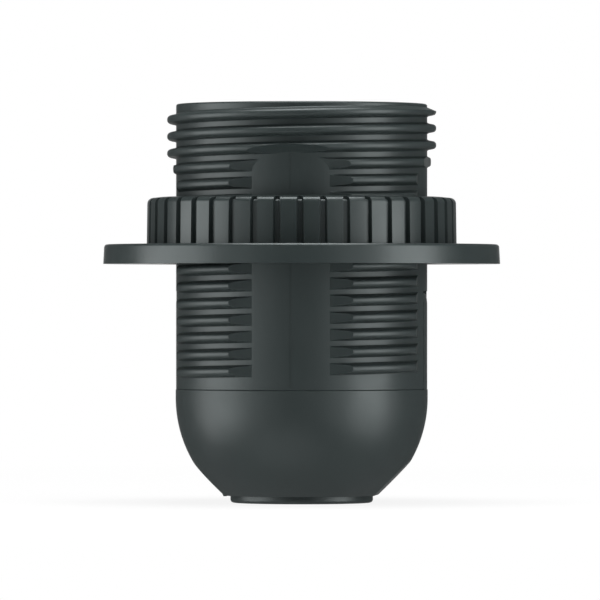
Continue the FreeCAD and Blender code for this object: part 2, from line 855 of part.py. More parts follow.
def side_contact():
    """Sprung leaf that stands up beside the lamp and bows in to touch its screw shell."""
    body = new_body("side_contact")
    tail = s.rivet_offset - s.leaf_root
    foot = s.rivet_offset + s.side_leaf_foot
    shoulder = foot + s.side_leaf_lean
    nose = shoulder - s.side_leaf_nose_depth
    shoulder_height = s.block_top + s.side_leaf_shoulder
    nose_height = s.block_top + s.side_leaf_nose
    top = s.block_top + s.side_leaf_height
    strip = new_sketch(body, "strip", "XZ_Plane")
    outline(
        strip,
        [
            (tail, s.leaf_bottom),
            (foot, s.leaf_bottom),
            (shoulder, shoulder_height),
            (nose, nose_height),
            (shoulder, top),
            (shoulder - s.leaf_thickness, top),
            (nose - s.leaf_thickness, nose_height),
            (shoulder - s.leaf_thickness, shoulder_height),
            (foot - s.leaf_thickness, s.leaf_top),
            (tail, s.leaf_top),
        ],
    )
    pad(body, "leaf", strip, s.leaf_width, both_ways=True)
    hole = new_sketch(body, "hole", "XY_Plane", outward=s.leaf_top)
    circle(hole, s.rivet_offset, 0, s.rivet_radius + s.rivet_hole_clearance)
    pocket(body, "rivet_hole", hole, s.leaf_thickness + PAST)
    return body


def nipple_lock_screw():
    """Grub screw in the boss, backed out clear of the entry's thread."""
    body = new_body("nipple_lock_screw")
    tip = s.entry_minor_radius + s.lock_backed_out
    tail = tip + s.lock_screw_length
    point = s.lock_screw_point
    profile = new_sketch(body, "profile", "YZ_Plane", upward=s.lock_height)
    outline(
        profile,
        [
            (tip, 0),
            (tail, 0),
            (tail, s.lock_screw_radius),
            (tip + point, s.lock_screw_radius),
            (tip, s.lock_screw_radius - point),
        ],
    )
    turned(body, "solid", profile, axis="H_Axis")
    slot = new_sketch(body, "slot", "XY_Plane", outward=s.lock_height)
    half_slot = s.screw_slot_width / 2
    rectangle(slot, -half_slot, tail - s.screw_slot_depth, half_slot, tail + PAST)
    pocket(body, "driver_slot", slot, (s.lock_screw_radius + PAST) * 2, both_ways=True)
    return body


def finish(bodies):
    """Check the whole document, then write each sub-part to its own file."""
    doc.recompute()
    for item in doc.Objects:
        if "Invalid" in item.State or "Error" in item.State:
            raise RuntimeError(f"{item.Label} failed: {item.State}")
    for made, base, adds in steps:
        before = base.Shape.Volume if base is not None else 0.0
        change = made.Shape.Volume - before
        if change * (1 if adds else -1) <= 1e-6:
            raise RuntimeError(f"{made.Label} changed nothing")
    os.makedirs("parts", exist_ok=True)
    for body in bodies:
        shape = body.Shape
        if shape.isNull() or not shape.isValid() or len(shape.Solids) != 1:
            raise RuntimeError(f"{body.Label} is not one valid solid")
        shape.exportStep(f"parts/{body.Label}.step")
        print(f"{body.Label}: {shape.Volume:.1f} mm3, {len(shape.Faces)} faces")


finish(
    [
        outer_shell(),
        shade_ring(),
        dome_cap(),
        contact_block(),
        pillar_terminal("neutral_terminal", 0),
        pillar_terminal("live_terminal", 180),
        terminal_screw("neutral_terminal_screw", 0),
        terminal_screw("live_terminal_screw", 180),
        rivet("side_contact_rivet", 1),
        rivet("centre_contact_rivet", -1),
        centre_contact(),
        side_contact(),
        nipple_lock_screw(),
    ]
)
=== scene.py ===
"""Looks of the E27 lamp holder: satin black mouldings, threads, and the contact block inside.

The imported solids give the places. Sizes in this file are millimetres and are turned to metres
where a mesh is made. Angles are degrees. The holder stands on its collar, mouth up.
"""
import json
import math

import bmesh
import bpy
from mathutils import Matrix, Vector

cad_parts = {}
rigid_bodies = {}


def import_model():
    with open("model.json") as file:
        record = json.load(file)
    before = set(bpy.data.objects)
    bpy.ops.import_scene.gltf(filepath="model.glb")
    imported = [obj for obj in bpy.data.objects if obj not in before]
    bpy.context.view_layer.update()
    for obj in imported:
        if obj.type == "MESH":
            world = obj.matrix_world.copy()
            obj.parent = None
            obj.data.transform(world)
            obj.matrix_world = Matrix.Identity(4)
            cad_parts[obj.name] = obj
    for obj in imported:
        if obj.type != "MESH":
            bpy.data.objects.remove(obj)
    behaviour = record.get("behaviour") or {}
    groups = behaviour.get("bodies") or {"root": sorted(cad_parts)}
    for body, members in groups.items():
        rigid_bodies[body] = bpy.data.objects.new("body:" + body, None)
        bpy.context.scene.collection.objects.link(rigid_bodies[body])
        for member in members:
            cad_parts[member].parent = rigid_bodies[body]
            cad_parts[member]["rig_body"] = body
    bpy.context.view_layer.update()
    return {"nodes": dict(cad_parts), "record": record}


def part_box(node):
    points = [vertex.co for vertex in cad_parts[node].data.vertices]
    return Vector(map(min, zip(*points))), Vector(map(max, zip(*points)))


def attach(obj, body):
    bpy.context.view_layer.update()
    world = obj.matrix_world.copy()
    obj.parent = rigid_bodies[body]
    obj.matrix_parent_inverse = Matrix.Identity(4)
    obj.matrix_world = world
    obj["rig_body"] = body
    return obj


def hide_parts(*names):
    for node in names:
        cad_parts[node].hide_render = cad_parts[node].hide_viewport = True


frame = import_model()

MM = 0.001
TURN = 2 * math.pi
Z_AXIS = Vector((0, 0, 1))
BODY_OF = {node: piece["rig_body"] for node, piece in frame["nodes"].items()}
SLOT_OF = {part["node"]: part["material_slot"] for part in frame["record"]["subparts"]}


def cad_span(node):
    """Lowest and highest corner of a CAD node in millimetres."""
    low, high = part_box(node)
    return low / MM, high / MM


# Places read from the frame
SHELL_LOW, SHELL_HIGH = cad_span("outer_shell")
RING_LOW, RING_HIGH = cad_span("shade_ring")
CAP_HIGH = cad_span("dome_cap")[1]
BLOCK_LOW = cad_span("contact_block")[0]

# Skirt. Its ridges start over +Y and climb anticlockwise, seen from above
PARTING = SHELL_LOW.z
RIM = SHELL_HIGH.z
SKIRT_RADIUS = 18.6
SKIRT_INNER = 17.0
RIM_WEB = 1.8
RIM_EDGE = 0.3
CREST_RADIUS = 19.93
PITCH = 2.5
RIDGE_FOOT = 2.1
RIDGE_BASE = 1.5
RIDGE_CREST = 1.0
RIDGE_SOFT = 0.42
RIDGE_FILLET = 0.2
RIDGE_RISE = 0.08
RIDGE_START = PARTING + 1.72
RIDGE_STOP = RIM - 0.86
ZONE_DISTANCE = 17.7
ZONE_WIDTH = 24.0
# Roof of each zone as (distance, height) points from the wall outwards: an arc in front and
# behind, and over the latch arms a step that trims the ridge above the zone
FRONT_ROOF_START = 48.7
FRONT_ROOF_RADIUS = 5.0
FRONT_ROOF_STEP = 9
FRONT_ROOF_STEPS = 7
RIGHT_ROOF = [(ZONE_DISTANCE, 48.9), (18.7, 49.6), (18.7, 51.6), (20.95, 52.1)]
LEFT_ROOF = [(ZONE_DISTANCE, 47.9), (18.3, 48.7), (18.3, 50.35), (20.95, 50.9)]
LEAD_IN_TOP = RIM - 0.5
LEAD_IN_FALL = 0.55
SEAM_WIDTH = 0.14
SEAM_RISE = 0.03
SEAM_ROOT = 0.5
SEAM_GAP = 0.2
# Smaller than the angle of the zones' edges on the wall, and larger than a rounding's step
SKIRT_CRISP = 16.5

# Inner barrel
MOUTH_RADIUS = 13.7
MOUTH_CHAMFER = 0.5
MOUTH_FOOT = RIM - 5.0
LAND_RADIUS = 12.45
ROOT_RADIUS = 13.4
BARREL_RADIUS = 15.0
LAMP_PITCH = 3.629
LAMP_ROUND = 1.025
LAMP_GROOVE_LIFT = 0.13
LAMP_THREAD_OPENING = 45
LAMP_THREAD_STEPS = 6
BARREL_END = 30.0
RELIEF_TOP = 34.4
RELIEF_RADIUS = 12.9
RELIEF_ROUND = 0.15
BAND_TOP = 36.9
BAND_RADIUS = 12.25
LAMP_THREAD_START = BAND_TOP + 1.6
LAMP_THREAD_STOP = MOUTH_FOOT + 2.5

# Domed cap
DOME_RADIUS = 18.67
DOME_INNER = 16.87
DOME_CENTRE = 15.5
DOME_FOOT = 1.1
COLLAR_GAP = 0.5
# Each flat on the dome's shoulders: its distance from the dome's centre, and the cutter's sides
FLAT_DISTANCE = 18.0
FLAT_DEPTH = 9.0
FLAT_HALF_WIDTH = 13.5
COLLAR_RADIUS = 10.56
COLLAR_ROUND = 0.5
# Small stop that stands proud at the foot of the flat on -X: its section's corners
STOP_INNER = 11.15
STOP_FOOT = (11.6, 0.95)
STOP_HEAD = (12.15, 2.1)
STOP_WIDTH = 4.0
NECK_OUTER = 16.85
NECK_INNER = 15.85
NECK_TOP = PARTING + 1.4
FLOOR = 2.4
ENTRY_RADIUS = 4.459
ENTRY_ROOT = 5.0
ENTRY_PITCH = 1.0
ENTRY_TURNS = 14.0
ENTRY_CHAMFER = 0.5
# The entry's groove: how far it starts inside the bore, and half its widths there and at its root
ENTRY_OVERCUT = 0.15
ENTRY_HALF_OPENING = 0.3
ENTRY_HALF_ROOT = 0.03
BOSS_RADIUS = 7.0
BOSS_TOP = 12.0
BOSS_ROUND = 0.3
ARM_WIDTH = 6.0
ARM_INNER = 17.1
ARM_TOP = CAP_HIGH.z
ARM_LEAN = 0.2
ARM_LEAN_FALL = 1.3
ARM_LEAN_ROUND = 0.3
ARM_OUTER_ROUND = 0.25
ARM_INNER_ROUND = 0.15
SLOT_GAP = 0.2
SLOT_TOP_GAP = 0.3
RIB_THICKNESS = 1.6
RIB_INNER = 12.2
RIB_OUTER = 16.35
RIB_TOP = BLOCK_LOW.z
LUG_RADIUS = 2.6
LUG_START = 5.73
LUG_REACH = 8.6
LOCK_HEIGHT = 8.0
LOCK_HOLE = 1.25

# Shade ring
FLANGE_BOTTOM = RING_LOW.z
FLANGE_TOP = FLANGE_BOTTOM + 2.89
HUB_TOP = RING_HIGH.z
FLANGE_RADIUS = 29.39
FLANGE_DRAFT = 0.15
FLANGE_ROUND = 0.45
HUB_RADIUS = 22.95
HUB_FALL = 0.22
HUB_DRAFT = 0.1
HUB_ROUND = 0.75
RING_BORE = 20.15
RING_CHAMFER = 0.6
GRIPS = 42
GRIP_YAW = 0.3
GRIP_WIDTH = 1.15
GRIP_FLOOR = 0.68
GRIP_DEPTH = 0.72
GRIP_DROP = 0.55
GRIP_ROUND = 0.45
GRIP_LEDGE = 0.7
GRIP_STEPS = 6
RING_RIDGE_RADIUS = 18.85
RING_RIDGE_BASE = 1.45
RING_RIDGE_CREST = 0.55
RING_RIDGE_SOFT = 0.12
RING_RIDGE_ROOT = 0.4
RING_RIDGE_TURNS = 2.9
RING_RIDGE_LIFT = 7

# Contacts and screws
LEAF = 0.5
LEAF_HALF_WIDTH = 2.5
LEAF_CORNER = 1.25
LEAF_BOTTOM = 26.85
LEAF_TOP = LEAF_BOTTOM + LEAF
RIVET_OFFSET = 8.5
RIVET_HOLE = 1.3
BUTTON_FOOT = 29.45
BUTTON_TOP = 30.0
BUTTON_RADIUS = 1.6
# The centre leaf's end by its rivet, the bend where it starts to rise, and half its flat on top
CENTRE_END = 10.9
CENTRE_BEND = 6.6
CENTRE_FLAT = 2.4
CENTRE_ROUND = 0.4
# The side leaf's edge view as (distance, height): its outer face upwards, its inner one downwards
SIDE_END = 6.6
SIDE_OUTER = [(10.8, LEAF_BOTTOM, 0.5), (11.1, 30.6, 0.3), (10.3, 32.6, 0.3), (11.1, 34.2)]
SIDE_INNER = [(10.6, 34.2), (9.8, 32.6, 0.3), (10.6, 30.6, 0.3), (10.3, LEAF_TOP, 0.2)]
SCREW_RADIUS = 1.2
SCREW_CORE = 0.96
SCREW_PITCH = 0.45
SCREW_LENGTH = 5.0
SCREW_RIDGE_BASE = 0.5
SCREW_RIDGE_CREST = 0.06
CLAMP_POINT = 0.4
LOCK_POINT = 0.6
HEAD_RADIUS = 2.5
HEAD_HEIGHT = 1.6
DRIVER_WIDTH = 0.6
DRIVER_DEPTH = 0.8
CLAMP_TIP = 8.6
CLAMP_HEIGHT = 20.6
LOCK_TIP = 4.909

# Roundings of turned edges, from crisp to soft
EDGE_FINE = 0.12
EDGE_SOFT = 0.2
EDGE_ROUND = 0.4
# Softening of whole pieces' edges
MOULDED_EDGE = 0.1
SCREW_EDGE = 0.04
LEAF_EDGE = 0.05

# Camera as in the photo: turned to the right, level with the holder's middle. Metres for what
# stands in the studio, millimetres for what is measured on the holder
CAMERA_TURN = 5.2
CAMERA_DISTANCE = 1.1
CAMERA_ASIDE = 0.25
CAMERA_LEVEL = 30.0
PICTURE_WIDTH = 600
PIXELS_PER_MM = 6.75
# Each soft box: how far it stands across and up from the camera's side in degrees, its width and
# height in metres and its radiance
LAMP_DISTANCE = 0.6
LAMPS = (
    ("left_box", -80, 0, 0.54, 0.56, 3.3),
    ("right_box", 66, 0, 0.38, 0.56, 4.1),
    ("left_wing", -40, 0, 0.32, 0.5, 0.6),
    ("right_wing", 34, 0, 0.32, 0.5, 0.7),
    ("top_box", 0, 88, 0.46, 0.46, 7.2),
    ("low_fill", -20, -45, 0.5, 0.3, 0.6),
    ("high_fill", 40, 45, 0.6, 0.3, 0.9),
)
FLOOR_HALF = 4.0
FLOOR_DROP = 0.02

# Steps in a full turn, of large and of small turned forms and of threads
ROUND_STEPS = 192
SMALL_STEPS = 64
BAR_STEPS = 48
THREAD_STEPS = 120
ENTRY_STEPS = 72
SCREW_STEPS = 32
# Steps in the rounding of a corner
ROUNDING_STEPS = 6
# Points this near become one
WELD = 1e-3
# How far a cutter reaches past what it cuts
PAST = 1.0


def linear(channel):
    """One sRGB channel, 0 to 1, as linear light."""
    return channel / 12.92 if channel <= 0.04045 else ((channel + 0.055) / 1.055) ** 2.4


def colour(code):
    """Linear colour of an sRGB hex code such as 293030."""
    parts = [int(code[index : index + 2], 16) / 255 for index in (0, 2, 4)]
    return (*(linear(part) for part in parts), 1.0)


def add(tree, kind, settings=None, **inputs):
    """Add a node: settings go on the node, inputs are values or sockets to link."""
    made = tree.nodes.new(kind)
    for name, value in (settings or {}).items():
        setattr(made, name, value)
    for name, value in inputs.items():
        key = int(name[1:]) if name[0] == "i" and name[1:].isdigit() else name.replace("_", " ")
        socket = made.inputs[key]
        if isinstance(value, bpy.types.NodeSocket):
            tree.links.new(value, socket)
        else:
            socket.default_value = value
    return made


def blank(name):
    """New material with only its shader and output."""
    material = bpy.data.materials.new(name)
    material.use_nodes = True
    return material, material.node_tree, material.node_tree.nodes["Principled BSDF"]


def grainy(
    name, code, roughness, spread, grain, depth, ior=1.5, stretch=(1, 1, 1), gloss="ffffff"
):
    """Material with a grain of this size and depth in mm, and a roughness that drifts by spread.

    stretch makes the grain longer along an axis, as brushing and rolling do. gloss is the colour
    of what it reflects head on.
    """
    cloud_size = 5.0
    grit_share = 0.35
    # What the sum of the two noises ranges over
    faint, strong = 0.4, 0.95
    material, tree, shader = blank(name)
    place = add(tree, "ShaderNodeTexCoord").outputs["Object"]
    drawn = add(
        tree,
        "ShaderNodeMapping",
        Vector=place,
        Scale=[1 / (grain * MM * factor) for factor in stretch],
    ).outputs["Vector"]
    grit = add(tree, "ShaderNodeTexNoise", Vector=drawn, Scale=1.0, Detail=3.0)
    cloud = add(tree, "ShaderNodeTexNoise", Vector=place, Scale=1 / (cloud_size * MM), Detail=2.0)
    mixed = add(
        tree,
        "ShaderNodeMath",
        {"operation": "MULTIPLY_ADD"},
        i0=grit.outputs["Fac"],
        i1=grit_share,
        i2=cloud.outputs["Fac"],
    )
    tone = add(
        tree,
        "ShaderNodeMapRange",
        Value=mixed.outputs["Value"],
        From_Min=faint,
        From_Max=strong,
        To_Min=roughness - spread,
        To_Max=roughness + spread,
    )
    tree.links.new(tone.outputs["Result"], shader.inputs["Roughness"])
    shader.inputs["Base Color"].default_value = colour(code)
    shader.inputs["Specular Tint"].default_value = colour(gloss)
    shader.inputs["IOR"].default_value = ior
    bump = add(
        tree, "ShaderNodeBump", Strength=0.5, Distance=depth * MM, Height=grit.outputs["Fac"]
    )
    tree.links.new(bump.outputs["Normal"], shader.inputs["Normal"])
    return material, shader


def metal(name, code, roughness, spread, grain, depth, stretch):
    """Grainy material that is metal."""
    material, shader = grainy(name, code, roughness, spread, grain, depth, stretch=stretch)
    shader.inputs["Metallic"].default_value = 1.0
    return material


# Glass-filled thermoplastic polyester from a spark-eroded mould: black with a cool cast, satin,
# a fine even grain
BLACK = grainy("black_polyester_moulded", "293030", 0.4, 0.05, 0.3, 0.016, gloss="f5ffff")[0]
# The ring is of the same plastic from a polished mould, so its highlights are tighter
BLACK_SMOOTH = grainy("black_polyester_smooth", "293030", 0.32, 0.04, 0.3, 0.01, gloss="f5ffff")[0]
# Urea thermoset, pressed: off-white, semi-matt, slightly mottled
WHITE = grainy("white_urea_pressed", "e6e2d8", 0.38, 0.06, 0.4, 0.008, ior=1.55)[0]
# Free-cutting brass, sawn and turned: warm yellow with fine lines across the bar
BRASS = metal("brass_turned", "d9b56c", 0.3, 0.07, 0.25, 0.006, (1, 1, 8))
# Phosphor bronze strip, rolled: redder than brass, with lines along the strip
BRONZE = metal("phosphor_bronze_rolled", "d09a6a", 0.33, 0.06, 0.2, 0.004, (10, 1, 1))
# Steel with bright zinc plating: pale, slightly blue
ZINC = metal("steel_zinc_plated", "c9cdd2", 0.28, 0.08, 0.3, 0.005, (1, 1, 1))

FINISHES = {
    "black_thermoplastic": BLACK,
    "white_thermoset": WHITE,
    "brass": BRASS,
    "spring_bronze": BRONZE,
    "zinc_plated_steel": ZINC,
}


def make(name, bm, node, edge=0.0, material=None, sharp=30):
    """Make a bmesh in millimetres the piece that stands for a CAD node, with softened edges.

    Faces that meet at more than sharp degrees keep a crisp line between them.
    """
    bmesh.ops.recalc_face_normals(bm, faces=bm.faces)
    mesh = bpy.data.meshes.new(name)
    bm.to_mesh(mesh)
    bm.free()
    piece = bpy.data.objects.new(name, mesh)
    bpy.context.scene.collection.objects.link(piece)
    mesh.transform(Matrix.Scale(MM, 4))
    mesh.shade_smooth()
    mesh.set_sharp_from_angle(angle=math.radians(sharp))
    mesh.materials.append(material or FINISHES[SLOT_OF[node]])
    if edge:
        soft = piece.modifiers.new("soft edges", "BEVEL")
        soft.width = edge * MM
        soft.segments = 2
        soft.limit_method = "ANGLE"
        soft.angle_limit = math.radians(35)
        soft.harden_normals = True
    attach(piece, BODY_OF[node])
    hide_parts(node)
    return piece


def rounded_face(bm, corners):
    """Face in the XZ plane from (across, up) corners; a third number rounds its corner."""
    points = [bm.verts.new((corner[0], 0, corner[1])) for corner in corners]
    bm.faces.new(points)
    for point, corner in zip(points, corners):
        if len(corner) > 2:
            bmesh.ops.bevel(
                bm,
                geom=[point],
                offset=corner[2],
                offset_type="OFFSET",
                segments=ROUNDING_STEPS,
                profile=0.5,
                affect="VERTICES",
                material=-1,
            )


def rounded_loop(bm, corners):
    """Closed loop of edges from corners, without what lies on the axis."""
    rounded_face(bm, corners)
    bmesh.ops.delete(bm, geom=list(bm.faces), context="FACES_ONLY")
    on_axis = [edge for edge in bm.edges if all(abs(vert.co.x) < 1e-6 for vert in edge.verts)]
    bmesh.ops.delete(bm, geom=on_axis, context="EDGES")


def seal(bm):
    """Weld the points that meet and turn all faces outwards."""
    bmesh.ops.remove_doubles(bm, verts=bm.verts, dist=WELD)
    bmesh.ops.recalc_face_normals(bm, faces=bm.faces)
    return bm


def lathe(corners, steps=ROUND_STEPS):
    """Solid of revolution about the Z axis."""
    bm = bmesh.new()
    rounded_loop(bm, corners)
    bmesh.ops.spin(
        bm,
        geom=list(bm.verts) + list(bm.edges),
        cent=(0, 0, 0),
        axis=Z_AXIS,
        dvec=(0, 0, 0),
        angle=TURN,
        steps=steps,
        use_merge=True,
        use_duplicate=False,
    )
    return seal(bm)


def climb(bm, geometry, pitch, turns, steps):
    """Spin geometry about the axis while it climbs."""
    count = max(round(turns * steps), 1)
    bmesh.ops.spin(
        bm,
        geom=geometry,
        cent=(0, 0, 0),
        axis=Z_AXIS,
        dvec=(0, 0, pitch * turns / count),
        angle=TURN * turns,
        steps=count,
        use_merge=False,
        use_duplicate=False,
    )


def vertices_of(geometry):
    """The vertices among what an operator gave back."""
    return [item for item in geometry if isinstance(item, bmesh.types.BMVert)]


def thread(corners, pitch, turns, start_angle=0.0, steps=THREAD_STEPS):
    """Right-hand helical ridge from a profile in the XZ plane, closed at both ends.

    One turn is spun and copied upwards, and the last part of a turn is spun on its own.
    """
    bm = bmesh.new()
    rounded_loop(bm, corners)
    turn = Matrix.Rotation(math.radians(start_angle), 3, "Z")
    bmesh.ops.rotate(bm, verts=list(bm.verts), cent=(0, 0, 0), matrix=turn)
    whole = int(turns)
    profile = list(bm.verts) + list(bm.edges)
    last = bmesh.ops.duplicate(bm, geom=profile)["geom"]
    climb(bm, profile, pitch, 1.0, steps)
    kept = set(last)
    first_turn = [item for item in (*bm.verts, *bm.edges, *bm.faces) if item not in kept]
    for index in range(1, whole):
        copied = bmesh.ops.duplicate(bm, geom=first_turn)["geom"]
        bmesh.ops.translate(bm, vec=(0, 0, pitch * index), verts=vertices_of(copied))
    bmesh.ops.translate(bm, vec=(0, 0, pitch * whole), verts=vertices_of(last))
    climb(bm, last, pitch, turns - whole, steps)
    bmesh.ops.remove_doubles(bm, verts=bm.verts, dist=WELD)
    bmesh.ops.holes_fill(bm, edges=[edge for edge in bm.edges if edge.is_boundary])
    return seal(bm)


def ridge(foot, tip, base, crest, centre, soft=0.0):
    """Profile of a thread ridge between two radii, base wide at the foot and crest at the tip."""
    rounding = (soft,) if soft else ()
    return [
        (foot, centre - base / 2),
        (tip, centre - crest / 2, *rounding),
        (tip, centre + crest / 2, *rounding),
        (foot, centre + base / 2),
    ]


def box(bm, low, high, yaw=0.0):
    """Add a box between two corners, turned about the axis; returns its vertices."""
    made = bmesh.ops.create_cube(bm, size=1.0)["verts"]
    bmesh.ops.scale(bm, vec=[b - a for a, b in zip(low, high)], verts=made)
    bmesh.ops.translate(bm, vec=[(a + b) / 2 for a, b in zip(low, high)], verts=made)
    turn = Matrix.Rotation(math.radians(yaw), 3, "Z")
    bmesh.ops.rotate(bm, verts=made, cent=(0, 0, 0), matrix=turn)
    return made


def rod(radius, low, high, steps=BAR_STEPS):
    """Round bar on the Z axis."""
    return lathe([(0, low), (radius, low), (radius, high), (0, high)], steps)


def lay(bm, yaw, height=0.0):
    """Turn a bmesh from standing on Z to pointing outwards at this yaw and height."""
    matrix = (
        Matrix.Translation((0, 0, height))
        @ Matrix.Rotation(math.radians(yaw), 4, "Z")
        @ Matrix.Rotation(math.radians(90), 4, "Y")
    )
    bmesh.ops.transform(bm, matrix=matrix, verts=bm.verts)
    return bm


def combine(bm, other, operation="DIFFERENCE"):
    """Boolean of two closed bmeshes; both are used up and the result is a new one."""
    holders = []
    for source in (bm, other):
        mesh = bpy.data.meshes.new("work")
        source.to_mesh(mesh)
        source.free()
        holder = bpy.data.objects.new("work", mesh)
        bpy.context.scene.collection.objects.link(holder)
        holders.append(holder)
    modifier = holders[0].modifiers.new("join", "BOOLEAN")
    modifier.operation = operation
    modifier.solver = "MANIFOLD"
    modifier.object = holders[1]
    evaluated = holders[0].evaluated_get(bpy.context.evaluated_depsgraph_get())
    result = bmesh.new()
    result.from_mesh(evaluated.to_mesh())
    evaluated.to_mesh_clear()
    for holder in holders:
        mesh = holder.data
        bpy.data.objects.remove(holder)
        bpy.data.meshes.remove(mesh)
    if not result.faces:
        raise RuntimeError(f"{operation} left nothing")
    return result


def prism(bm, corners, width, yaw=0.0):
    """Add a prism from an outline in the XZ plane, across it by width; returns its vertices."""
    known = set(bm.verts)
    rounded_face(bm, corners)
    faces = [face for face in bm.faces if not known.intersection(face.verts)]
    grown = vertices_of(bmesh.ops.extrude_face_region(bm, geom=faces)["geom"])
    bmesh.ops.translate(bm, vec=(0, width, 0), verts=grown)
    made = [vert for vert in bm.verts if vert not in known]
    bmesh.ops.translate(bm, vec=(0, -width / 2, 0), verts=made)
    turn = Matrix.Rotation(math.radians(yaw), 3, "Z")
    bmesh.ops.rotate(bm, verts=made, cent=(0, 0, 0), matrix=turn)
    return made


def zone_cutters():
    """Prisms that cut the ridges flat on four sides, each up to its roof."""
    arc_angles = [math.radians(FRONT_ROOF_STEP * step) for step in range(FRONT_ROOF_STEPS + 1)]
    front_roof = [
        (
            ZONE_DISTANCE + FRONT_ROOF_RADIUS * (1 - math.cos(angle)),
            FRONT_ROOF_START + FRONT_ROOF_RADIUS * math.sin(angle),
        )
        for angle in arc_angles
    ]
    foot = PARTING - PAST
    cutters = bmesh.new()
    for yaw, roof in ((90, front_roof), (-90, front_roof), (0, RIGHT_ROOF), (180, LEFT_ROOF)):
        outline = [(ZONE_DISTANCE, foot), *roof, (roof[-1][0], foot)]
        prism(cutters, outline, ZONE_WIDTH, yaw)
    return seal(cutters)


def skirt():
    """Skirt with its interrupted outer thread, its rim, and the lamp thread in its inner barrel."""
    base = SKIRT_RADIUS + RIDGE_RISE
    flank = ridge(base, CREST_RADIUS, RIDGE_BASE, RIDGE_CREST, RIDGE_START, RIDGE_SOFT)
    flank[0] += (RIDGE_FILLET,)
    flank[-1] += (RIDGE_FILLET,)
    low, high = RIDGE_START - RIDGE_FOOT / 2, RIDGE_START + RIDGE_FOOT / 2
    foot = SKIRT_RADIUS - RIDGE_RISE
    deep = (SKIRT_RADIUS + SKIRT_INNER) / 2
    profile = [(deep, low), (foot, low), *flank, (foot, high), (deep, high)]
    ridges = thread(profile, PITCH, (RIDGE_STOP - RIDGE_START) / PITCH, 90)
    ridges = combine(ridges, zone_cutters())
    # The uppermost ridge is turned down towards the rim
    lead_in_foot = LEAD_IN_TOP - LEAD_IN_FALL
    lead_in = lathe(
        [
            (SKIRT_INNER, LEAD_IN_TOP),
            (SKIRT_RADIUS, LEAD_IN_TOP),
            (CREST_RADIUS, lead_in_foot),
            (CREST_RADIUS + PAST, lead_in_foot),
            (CREST_RADIUS + PAST, RIM + PAST),
            (SKIRT_INNER, RIM + PAST),
        ]
    )
    ridges = combine(ridges, lead_in)
    walls = lathe(
        [
            (SKIRT_INNER, PARTING),
            (SKIRT_RADIUS, PARTING, EDGE_FINE),
            (SKIRT_RADIUS, RIM, RIM_EDGE),
            (MOUTH_RADIUS + MOUTH_CHAMFER, RIM, EDGE_SOFT),
            (MOUTH_RADIUS, RIM - MOUTH_CHAMFER, EDGE_SOFT),
            (MOUTH_RADIUS, MOUTH_FOOT, EDGE_SOFT),
            (LAND_RADIUS, MOUTH_FOOT - (MOUTH_RADIUS - LAND_RADIUS), EDGE_SOFT),
            (LAND_RADIUS, BAND_TOP),
            (BAND_RADIUS, BAND_TOP),
            (BAND_RADIUS, RELIEF_TOP, RELIEF_ROUND),
            (RELIEF_RADIUS, RELIEF_TOP),
            (RELIEF_RADIUS, BARREL_END, EDGE_SOFT),
            (BARREL_RADIUS, BARREL_END, EDGE_SOFT),
            (BARREL_RADIUS, RIM - RIM_WEB, EDGE_ROUND),
            (SKIRT_INNER, RIM - RIM_WEB, EDGE_ROUND),
        ]
    )
    groove_centre = ROOT_RADIUS - LAMP_ROUND
    half_round = LAMP_ROUND * math.sqrt(0.5)
    opening = LAND_RADIUS - LAMP_GROOVE_LIFT
    half_open = half_round + groove_centre + half_round - opening
    step_angle = 2 * LAMP_THREAD_OPENING / LAMP_THREAD_STEPS
    angles = [
        math.radians(step_angle * step - LAMP_THREAD_OPENING)
        for step in range(LAMP_THREAD_STEPS + 1)
    ]
    bottom = [
        (
            groove_centre + LAMP_ROUND * math.cos(angle),
            LAMP_THREAD_START + LAMP_ROUND * math.sin(angle),
        )
        for angle in angles
    ]
    low, high = LAMP_THREAD_START - half_open, LAMP_THREAD_START + half_open
    turns = (LAMP_THREAD_STOP - LAMP_THREAD_START) / LAMP_PITCH
    walls = combine(walls, thread([(opening, low), *bottom, (opening, high)], LAMP_PITCH, turns))
    whole = combine(walls, ridges, "UNION")
    slots = bmesh.new()
    half_slot = ARM_WIDTH / 2 + SLOT_GAP
    slot_low = ((BARREL_RADIUS + SKIRT_INNER) / 2, -half_slot, PARTING - PAST)
    slot_high = (CREST_RADIUS + PAST, half_slot, ARM_TOP + SLOT_TOP_GAP)
    box(slots, slot_low, slot_high)
    box(slots, slot_low, slot_high, 180)
    whole = combine(whole, slots)
    seams = bmesh.new()
    seam_low = (SKIRT_RADIUS - SEAM_ROOT, -SEAM_WIDTH / 2, PARTING + SEAM_GAP)
    seam_high = (SKIRT_RADIUS + SEAM_RISE, SEAM_WIDTH / 2, RIM - 2 * RIM_EDGE)
    box(seams, seam_low, seam_high, 90)
    box(seams, seam_low, seam_high, -90)
    whole = combine(whole, seams, "UNION")
    return make("skirt", whole, "outer_shell", sharp=SKIRT_CRISP)


